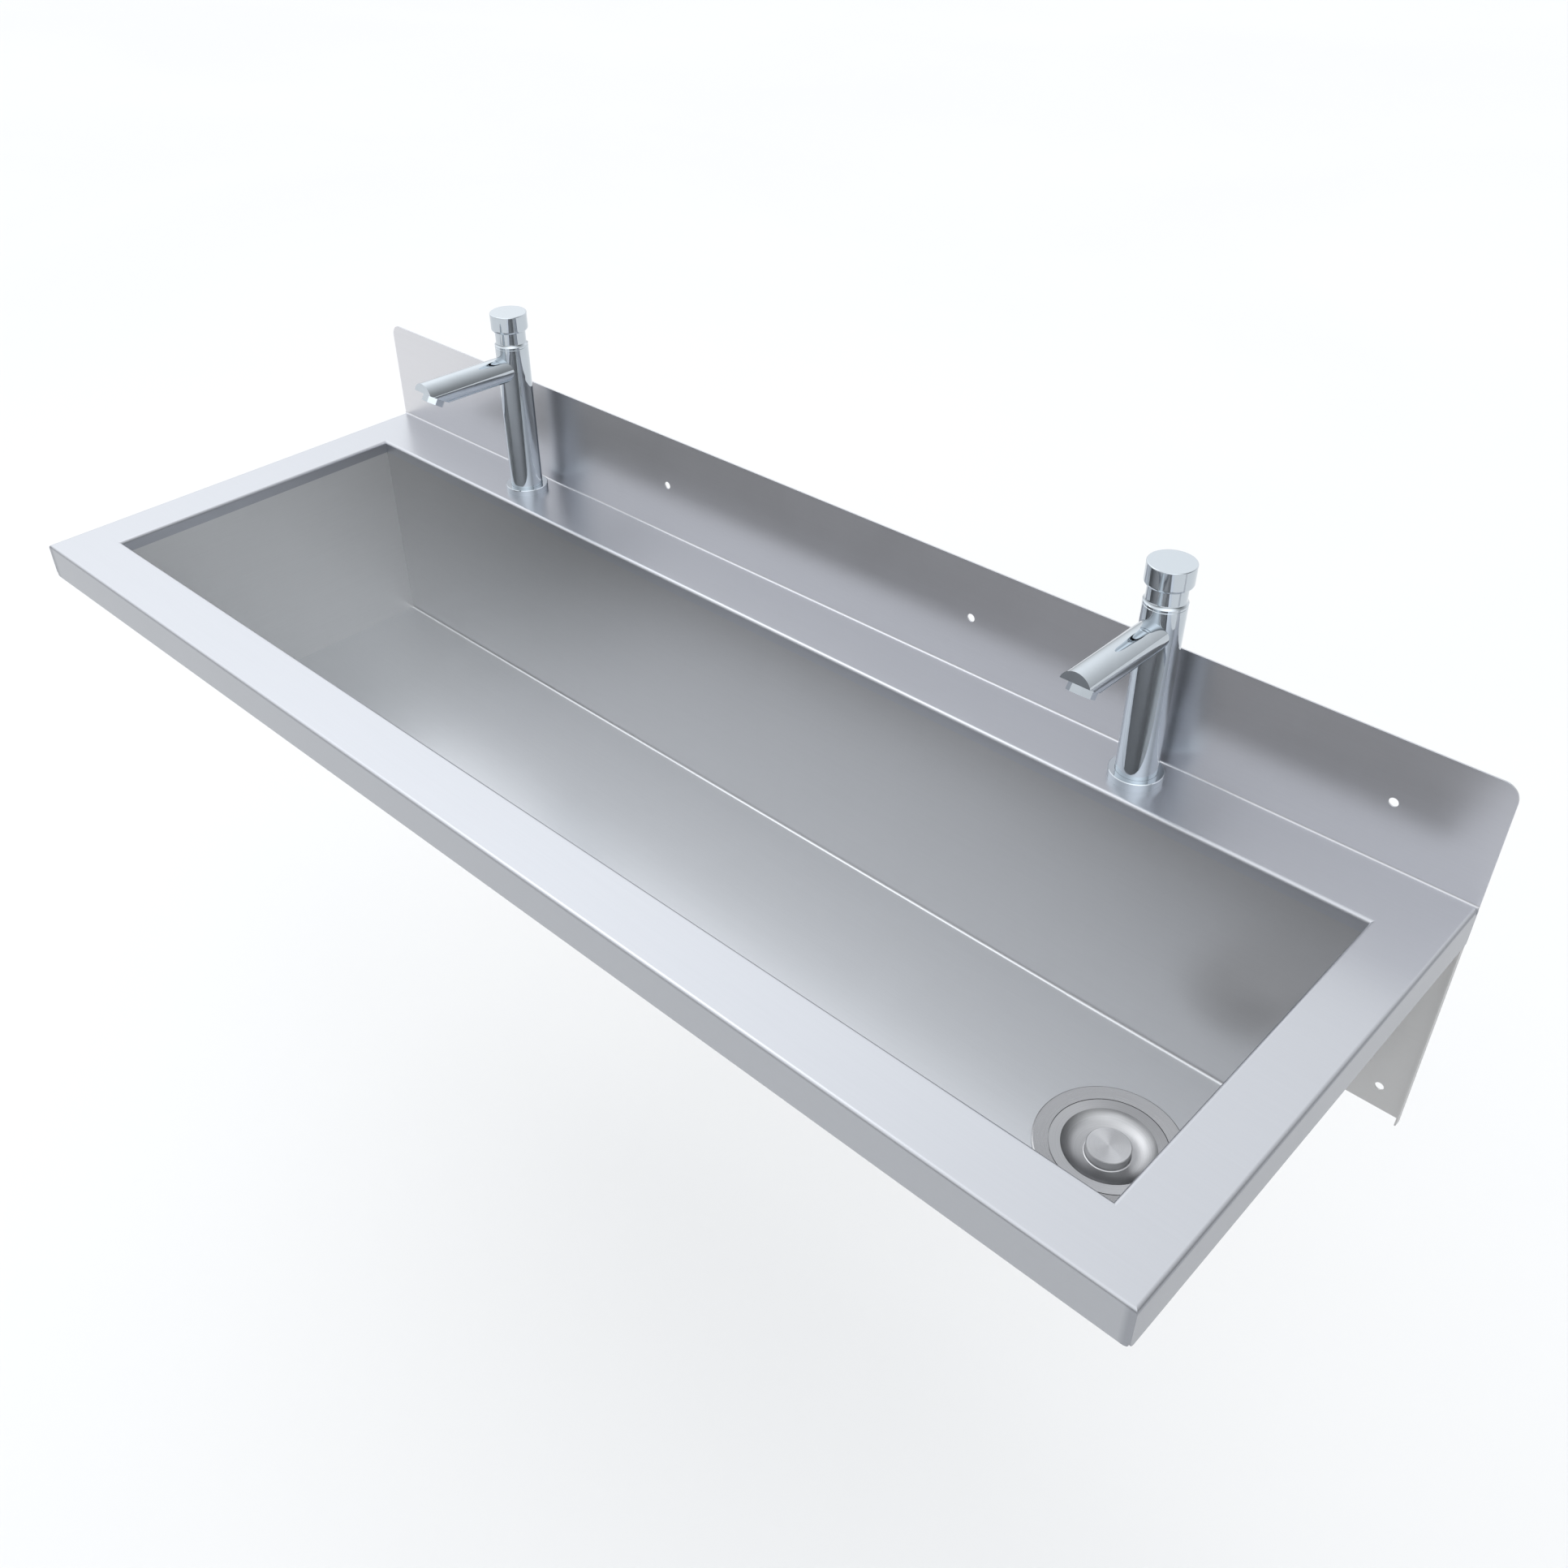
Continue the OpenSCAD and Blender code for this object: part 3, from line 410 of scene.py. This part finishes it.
def bump(net, height, distance):
    """Normal of a relief this deep."""
    return net.add("ShaderNodeBump", {"Height": height, "Distance": distance}).outputs[0]


def paint_upright_shading(net, paint, painted_shading):
    """Paint with painted shading on its upright faces: painted shade where the share is below one,
    painted light where it is above.
    """
    return net.vector("MULTIPLY", paint, net.blend(net.group(level_group())["Mask"], painted_shading, WHITE))


def sheet_painted_shading(net, front, side, above):
    """Painted light and shade on the top sheet: painted shade on its front and end aprons, painted
    light on all above the rim.

    The aprons' painted shade fades between two depths behind their faces, the splashback's painted
    light at the rim.
    """
    near, far, edge = 0.004, 0.008, 0.001
    part = net.add("ShaderNodeSeparateXYZ", {"Vector": net.place()}).outputs
    painted_shading = net.blend(net.span(part["Y"], SINK_FRONT + near, SINK_FRONT + far), (*front, 1), WHITE)
    at_end = net.span(net.math("ABSOLUTE", part["X"]), SINK_END - far, SINK_END - near)
    painted_shading = net.blend(at_end, painted_shading, (*side, 1))
    return net.blend(net.span(part["Z"], RIM_Z - edge, RIM_Z + edge), painted_shading, (*above, 1))


def steel_sheet(name, colour, roughness, cell, contrast=0.02, depth=0.0000008, painted_shading=None):
    """Satin stainless sheet: grain along one way, faint clouds, a few dull spots."""
    material, net, shader = start_material(name, colour, metallic=1.0)
    grain = net.group(grain_group(), {"Cell": cell})
    marks = net.marks(size=0.16, spot=0.012)
    tone = net.mix(0.7, grain["Mask"], marks["Clouds"])
    paint = net.tones(tone, colour, dark=1 - contrast, light=1 + contrast)
    # Painted light and shade: where a share is given, the upright faces' colour is multiplied by
    # it.
    if painted_shading:
        paint = paint_upright_shading(net, paint, painted_shading(net) if callable(painted_shading) else (*painted_shading, 1))
    net.put(shader, "Base Color", paint)
    rough = net.math(
        "ADD", net.around(grain["Mask"], roughness, less=0.012, more=0.012),
        net.around(marks["Clouds"], 0, less=0.012, more=0.018))
    net.put(shader, "Roughness", net.math("MULTIPLY_ADD", marks["Spots"], 0.006, rough))
    net.put(shader, "Normal", bump(net, grain["Height"], depth))
    return material


def spun_steel(
        name, colour, roughness, axis, pitch, contrast=0.06, depth=0.000006, anisotropy=0.0,
        upright=1.0):
    """Turned or spun metal with rings about its axis, and painted shade on its upright faces by one
    share.
    """
    material, net, shader = start_material(name, colour, metallic=1.0)
    rings = net.group(spun_group(), {"Axis": (*axis, 0), "Pitch": pitch})
    marks = net.marks(size=0.03, spot=0.004)
    paint = net.tones(rings["Mask"], colour, dark=1 - contrast, light=1 + contrast)
    # Painted shade: upright faces darkened by the upright share.
    if upright < 1.0:
        paint = paint_upright_shading(net, paint, (upright, upright, upright, 1))
    net.put(shader, "Base Color", paint)
    net.put(shader, "Roughness", net.math(
        "ADD", net.around(rings["Mask"], roughness, less=0.03, more=0.03),
        net.around(marks["Clouds"], 0, less=0.02, more=0.03)))
    net.put(shader, "Normal", bump(net, rings["Height"], depth))
    if anisotropy:
        shader.inputs["Anisotropic"].default_value = anisotropy
        tangent = net.add("ShaderNodeTangent", direction_type="RADIAL", axis="Z")
        net.put(shader, "Tangent", tangent.outputs[0])
    return material


def chrome(name, colour, roughness):
    """Bright plating with faint smears and a trace of polishing waves."""
    material, net, shader = start_material(name, colour, metallic=1.0)
    marks = net.marks(size=0.03, spot=0.0025)
    net.put(shader, "Base Color", net.tones(marks["Clouds"], colour, dark=0.97, light=1.02))
    smears = net.around(marks["Clouds"], roughness, less=0.015, more=0.02)
    net.put(shader, "Roughness", net.math("MULTIPLY_ADD", marks["Spots"], 0.03, smears))
    net.put(shader, "Normal", bump(net, marks["Clouds"], distance=0.00001))
    return material


def threaded_metal(name, colour, roughness, axis, pitch):
    """Machined metal whose thread is a helix of ridges, with painted shade darkening its grooves.
    """
    material, net, shader = start_material(name, colour, metallic=1.0)
    thread = net.group(thread_group(), {"Axis": (*axis, 0), "Pitch": pitch})
    marks = net.marks(size=0.02, spot=0.002)
    crest = net.tones(marks["Clouds"], colour, dark=0.92, light=1.04)
    # Painted shade: the thread's grooves take a darker copy of the colour.
    net.put(shader, "Base Color", net.blend(thread["Mask"], crest, shade(colour, 0.45)))
    net.put(shader, "Roughness", net.around(marks["Clouds"], roughness, less=0.05, more=0.06))
    net.put(shader, "Normal", bump(net, thread["Height"], distance=pitch * 0.6))
    return material


def soft_black(name, colour, roughness):
    """Moulded rubber with a fine pebble and paler dusty clouds."""
    material, net, shader = start_material(name, colour)
    marks = net.marks(size=0.02, spot=0.0012)
    net.put(shader, "Base Color", net.tones(marks["Clouds"], colour, dark=0.8, light=1.6))
    net.put(shader, "Roughness", net.around(marks["Clouds"], roughness, less=0.08, more=0.08))
    net.put(shader, "Normal", bump(net, marks["Spots"], distance=0.00003))
    return material


def moulded_plastic(name, colour, roughness):
    """Moulded white plastic with a faint flow pattern."""
    material, net, shader = start_material(name, colour)
    marks = net.marks(size=0.015, spot=0.0008)
    net.put(shader, "Base Color", net.tones(marks["Clouds"], colour, dark=0.94, light=1.02))
    net.put(shader, "Roughness", net.around(marks["Clouds"], roughness, less=0.05, more=0.05))
    net.put(shader, "Normal", bump(net, marks["Spots"], distance=0.00001))
    shader.inputs["Subsurface Weight"].default_value = 0.05
    shader.inputs["Subsurface Scale"].default_value = 0.002
    return material


def dress(node, material):
    """Gives every slot of a carried-over piece its finish."""
    mesh = NODES[node].data
    if not mesh.materials:
        mesh.materials.append(material)
    for i in range(len(mesh.materials)):
        mesh.materials[i] = material


def coil(name, node, wire, turns):
    """Wire spring in the room of a CAD node, its axis upright, as one closed tube."""
    low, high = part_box(node)
    start = Vector((*axis_of(node), low.z + wire / 2))
    reach, rise = (high.x - low.x - wire) / 2, high.z - low.z - wire
    steps_per_turn, sides = 24, 10
    count = turns * steps_per_turn
    verts, faces = [], []
    for i in range(count + 1):
        turn = i * math.tau / steps_per_turn
        out = Vector((math.cos(turn), math.sin(turn), 0))
        core = start + UP * (rise * i / count) + out * reach
        for k in range(sides):
            a = k * math.tau / sides
            verts.append(core + (out * math.cos(a) + UP * math.sin(a)) * wire / 2)
    for i in range(count):
        a, b = i * sides, (i + 1) * sides
        faces += [(a + k, b + k, b + (k + 1) % sides, a + (k + 1) % sides) for k in range(sides)]
    faces += [tuple(range(sides)), tuple(range((count + 1) * sides - 1, count * sides - 1, -1))]
    mesh = bpy.data.meshes.new(name)
    mesh.from_pydata(verts, [], faces)
    mesh.polygons.foreach_set("use_smooth", [len(face) == 4 for face in faces])
    piece = bpy.data.objects.new(name, mesh)
    bpy.context.scene.collection.objects.link(piece)
    return piece


def add_spring(side, tap, material):
    """Return spring that stands in the bonnet's neck."""
    node, push = f"tap_spring_{side}", f"button_{side}_push"
    piece = coil(f"return_spring_{side}", node, tap.spring_wire, tap.spring_turns)
    piece.data.materials.append(material)
    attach(piece, "sink")
    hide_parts(node)
    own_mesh(piece)


class SINK_OT_sheets(bpy.types.Operator):
    """Finish the rim, splashback, basin and rear panel in satin steel"""
    bl_idname = "sink.sheets"
    bl_label = "Finish Sheets"

    def execute(self, context):
        steel = context.scene.sink_steel
        level = (steel.grain_length, steel.grain_width, steel.grain_width)
        crosswise = (steel.grain_width, steel.grain_length, steel.grain_width)
        # The top sheet carries painted shade on its aprons and painted light on its splashback; the
        # basin carries painted shade on its walls.
        dress("top_sheet", steel_sheet(
            "rim_steel", steel.rim_colour, steel.sheet_roughness, level,
            painted_shading=lambda net: sheet_painted_shading(net, steel.apron_painted_shade, steel.side_painted_shade, steel.splash_painted_light)))
        dress("basin_trough", steel_sheet(
            "basin_steel", steel.basin_colour, steel.sheet_roughness + 0.02, level,
            painted_shading=steel.wall_painted_shade))
        # The end plates' colour carries painted light.
        ends = steel_sheet(
            "basin_end_steel", steel.end_colour_and_painted_light, steel.sheet_roughness + 0.10, crosswise)
        dress("basin_end_left", ends)
        dress("basin_end_right", ends)
        dress("rear_panel", steel_sheet(
            "panel_steel", steel.panel_colour, steel.sheet_roughness + 0.12, level))
        return {"FINISHED"}


class SINK_OT_taps(bpy.types.Operator):
    """Finish both taps, from the push button to the inlet"""
    bl_idname = "sink.taps"
    bl_label = "Finish Taps"

    def execute(self, context):
        tap = context.scene.sink_tap
        plate = chrome("tap_chrome", tap.chrome_colour, tap.chrome_roughness)
        rubber = soft_black("tap_rubber", tap.rubber_colour, roughness=0.6)
        plastic = moulded_plastic("tap_plastic", tap.plastic_colour, roughness=0.4)
        shared = (
            (plate, ("body", "base_ring", "bonnet", "aerator_shell")),
            (rubber, ("base_seal", "cartridge_seal")),
            (plastic, ("cartridge", "aerator_insert")))
        for side in SIDES:
            for material, parts in shared:
                for part in parts:
                    dress(f"tap_{part}_{side}", material)
            axis = axis_of(f"tap_shank_{side}")
            dress(f"tap_button_{side}", spun_steel(
                f"button_chrome_{side}", tap.chrome_colour, tap.chrome_roughness + 0.02,
                axis, pitch=0.0006, contrast=0.02, depth=0.000001))
            dress(f"tap_shank_{side}", threaded_metal(
                f"inlet_brass_{side}", tap.brass_colour, roughness=0.32,
                axis=axis, pitch=tap.inlet_pitch))
            dress(f"tap_plunger_{side}", spun_steel(
                f"stem_brass_{side}", tap.brass_colour, roughness=0.25, axis=axis, pitch=0.0005))
            wire_steel = steel_sheet(
                f"spring_steel_{side}", tap.spring_colour, roughness=0.3,
                cell=(0.004, 0.004, 0.0006))
            dress(f"tap_spring_{side}", wire_steel)
            add_spring(side, tap, wire_steel)
        return {"FINISHED"}


class SINK_OT_fixings(bpy.types.Operator):
    """Finish the washers and backnuts under the ledge"""
    bl_idname = "sink.fixings"
    bl_label = "Finish Fixings"

    def execute(self, context):
        tap = context.scene.sink_tap
        dress("tap_rubber_washers", soft_black("washer_rubber", tap.rubber_colour, roughness=0.65))
        dress("tap_steel_washers", steel_sheet(
            "washer_steel", tap.washer_colour, roughness=0.33, cell=(0.006, 0.0008, 0.0008)))
        dress("tap_backnuts", steel_sheet(
            "backnut_brass", tap.brass_colour, roughness=0.34, cell=(0.004, 0.0008, 0.0008),
            contrast=0.08))
        return {"FINISHED"}


class SINK_OT_waste(bpy.types.Operator):
    """Finish the basket waste and its lid"""
    bl_idname = "sink.waste"
    bl_label = "Finish Waste"

    def execute(self, context):
        waste = context.scene.sink_waste
        steel, pitch, axis = waste.flange_colour, waste.ring_pitch, axis_of("waste_body")
        rubber = soft_black("waste_rubber", waste.seal_colour, roughness=0.65)
        # Painted shade: the waste body, lid dish and knob are darkened on their upright faces by
        # the upright share.
        dress("waste_body", spun_steel(
            "waste_steel", steel, roughness=0.24, axis=axis, pitch=pitch,
            contrast=0.04, depth=0.000003, upright=0.4))
        dress("waste_tail", threaded_metal(
            "tail_steel", steel, roughness=0.3, axis=axis, pitch=waste.outlet_pitch))
        dress("lid_dish", spun_steel(
            "lid_steel", steel, roughness=0.34, axis=axis, pitch=pitch,
            contrast=0.05, depth=0.000003, anisotropy=0.7, upright=0.4))
        # Painted light: the knob's colour is a lighter copy of the flange steel.
        dress("lid_knob", spun_steel(
            "knob_steel", shade(steel, 1.25)[:3], roughness=0.34, axis=axis, pitch=pitch * 0.7,
            contrast=0.05, depth=0.000003, anisotropy=0.8, upright=0.5))
        dress("strainer_basket", spun_steel(
            "basket_steel", shade(steel, 0.92)[:3], roughness=0.3, axis=axis, pitch=0.0012))
        dress("lid_screw", spun_steel(
            "screw_steel", waste.fixing_colour, roughness=0.3, axis=axis, pitch=0.0004))
        dress("waste_clamp_nut", steel_sheet(
            "clamp_nut_steel", waste.fixing_colour, roughness=0.4, cell=(0.01, 0.002, 0.001),
            contrast=0.07))
        dress("waste_friction_ring", moulded_plastic(
            "ring_plastic", waste.ring_colour, roughness=0.45))
        dress("waste_flange_seal", rubber)
        dress("waste_gasket", rubber)
        return {"FINISHED"}


def lay_floor(scene, stage):
    """Plain matt floor below the sink, with the faintest clouds."""
    reach, level = stage.floor_reach, RIM_Z - stage.floor_drop
    corners = ((-reach, -reach), (reach, -reach), (reach, reach), (-reach, reach))
    mesh = bpy.data.meshes.new("floor")
    mesh.from_pydata([(x, y, level) for x, y in corners], [], [(0, 1, 2, 3)])
    floor = bpy.data.objects.new("floor", mesh)
    scene.collection.objects.link(floor)
    material, net, shader = start_material("floor_paint", stage.floor_colour)
    clouds = net.group(handling_group(), {"Size": 2.0})["Clouds"]
    net.put(shader, "Base Color", net.tones(clouds, stage.floor_colour, dark=0.99, light=1.01))
    shader.inputs["Roughness"].default_value = 0.9
    shader.inputs["Specular IOR Level"].default_value = 0.1
    mesh.materials.append(material)
    return floor


def sky(scene, stage):
    """World with an even part and broad soft lobes, each towards its own direction."""
    lobes = (
        ((-0.92, 0.12, 0.38), stage.sky_left),
        ((-0.55, 0.55, 0.62), stage.sky_back),
        ((0.15, 0.20, 0.95), stage.sky_above),
        ((0.20, 0.97, 0.12), stage.sky_wall),
        ((-0.55, -0.55, 0.62), stage.sky_front),
        ((0.55, -0.55, 0.62), stage.sky_right))
    world = bpy.data.worlds.new("studio")
    world.use_nodes = True
    world.node_tree.nodes.clear()
    net = Net(world.node_tree)
    way = net.vector("NORMALIZE", net.add("ShaderNodeTexCoord").outputs["Generated"])
    strength = stage.sky_even
    for towards, peak in lobes:
        near = net.vector("DOT_PRODUCT", way, tuple(Vector(towards).normalized()), out="Value")
        lobe = net.math("POWER", net.math("MAXIMUM", near, 0.0), stage.sky_focus)
        strength = net.math("MULTIPLY_ADD", lobe, peak, c=strength)
    light = net.add("ShaderNodeBackground", {
        "Color": (*stage.sky_colour, 1), "Strength": strength})
    output = net.add("ShaderNodeOutputWorld")
    net.tree.links.new(light.outputs[0], output.inputs[0])
    scene.world = world


def lamp(scene, name, place, target, size, power):
    """Rectangular soft lamp that faces its target."""
    light = bpy.data.lights.new(name, "AREA")
    light.shape = "RECTANGLE"
    light.size, light.size_y = size
    light.energy = power
    holder = bpy.data.objects.new(name, light)
    holder.location = place
    holder.rotation_euler = (Vector(target) - Vector(place)).to_track_quat("-Z", "Y").to_euler()
    scene.collection.objects.link(holder)


def place_camera(scene, stage):
    """Camera at the photograph's place, its axes from azimuth, elevation and roll."""
    az, el, roll = (math.radians(v) for v in (stage.azimuth, stage.elevation, stage.roll))
    back = Vector((math.sin(az) * math.cos(el), -math.cos(az) * math.cos(el), math.sin(el)))
    level = UP.cross(back).normalized()
    over = back.cross(level)
    right = level * math.cos(roll) + over * math.sin(roll)
    up = over * math.cos(roll) - level * math.sin(roll)
    camera = bpy.data.cameras.new("camera")
    camera.lens = stage.lens
    camera.sensor_width = 36
    camera.shift_x, camera.shift_y = stage.shift
    camera.clip_start, camera.clip_end = 0.01, 50
    holder = bpy.data.objects.new("camera", camera)
    turn = Matrix((right, up, back)).transposed().to_4x4()
    holder.matrix_world = Matrix.Translation(stage.place) @ turn
    scene.collection.objects.link(holder)
    scene.camera = holder


class SINK_OT_stage(bpy.types.Operator):
    """Lay the floor, light the sink and place the camera"""
    bl_idname = "sink.stage"
    bl_label = "Set Stage"

    def execute(self, context):
        scene, stage = context.scene, context.scene.sink_stage
        floor = lay_floor(scene, stage)
        sky(scene, stage)
        lamp(
            scene, "key", place=(-1.2, -0.4, 2.2), target=(0, -0.2, -0.1), size=(1.6, 1.2),
            power=stage.key_power)
        place_camera(scene, stage)
        scene.view_settings.view_transform = "Standard"
        return {"FINISHED"}


class SINK_PT_panel(bpy.types.Panel):
    """Sizes, colours and steps of the sink"""
    bl_idname = "SINK_PT_panel"
    bl_label = "Trough Sink"
    bl_space_type = "VIEW_3D"
    bl_region_type = "UI"
    bl_category = "Sink"

    def draw(self, context):
        for name, step in STEPS:
            settings = getattr(context.scene, name)
            box = self.layout.box()
            for key in settings.bl_rna.properties.keys():
                if key not in ("rna_type", "name"):
                    box.prop(settings, key)
            for operator in step:
                box.operator(operator.bl_idname)


STEPS = (
    ("sink_steel", (SINK_OT_sheets,)),
    ("sink_tap", (SINK_OT_taps, SINK_OT_fixings)),
    ("sink_waste", (SINK_OT_waste,)),
    ("sink_stage", (SINK_OT_stage,)),
)
GROUPS = {
    "sink_steel": SteelSettings,
    "sink_tap": TapSettings,
    "sink_waste": WasteSettings,
    "sink_stage": StageSettings,
}
CLASSES = (*GROUPS.values(), *(op for _, step in STEPS for op in step), SINK_PT_panel)


def register():
    for cls in CLASSES:
        bpy.utils.register_class(cls)
    for name, group in GROUPS.items():
        setattr(bpy.types.Scene, name, bpy.props.PointerProperty(type=group))


def unregister():
    for name in GROUPS:
        delattr(bpy.types.Scene, name)
    for cls in reversed(CLASSES):
        bpy.utils.unregister_class(cls)


def main():
    register()
    bpy.ops.sink.sheets()
    bpy.ops.sink.taps()
    bpy.ops.sink.fixings()
    bpy.ops.sink.waste()
    bpy.ops.sink.stage()


if __name__ == "__main__":
    main()
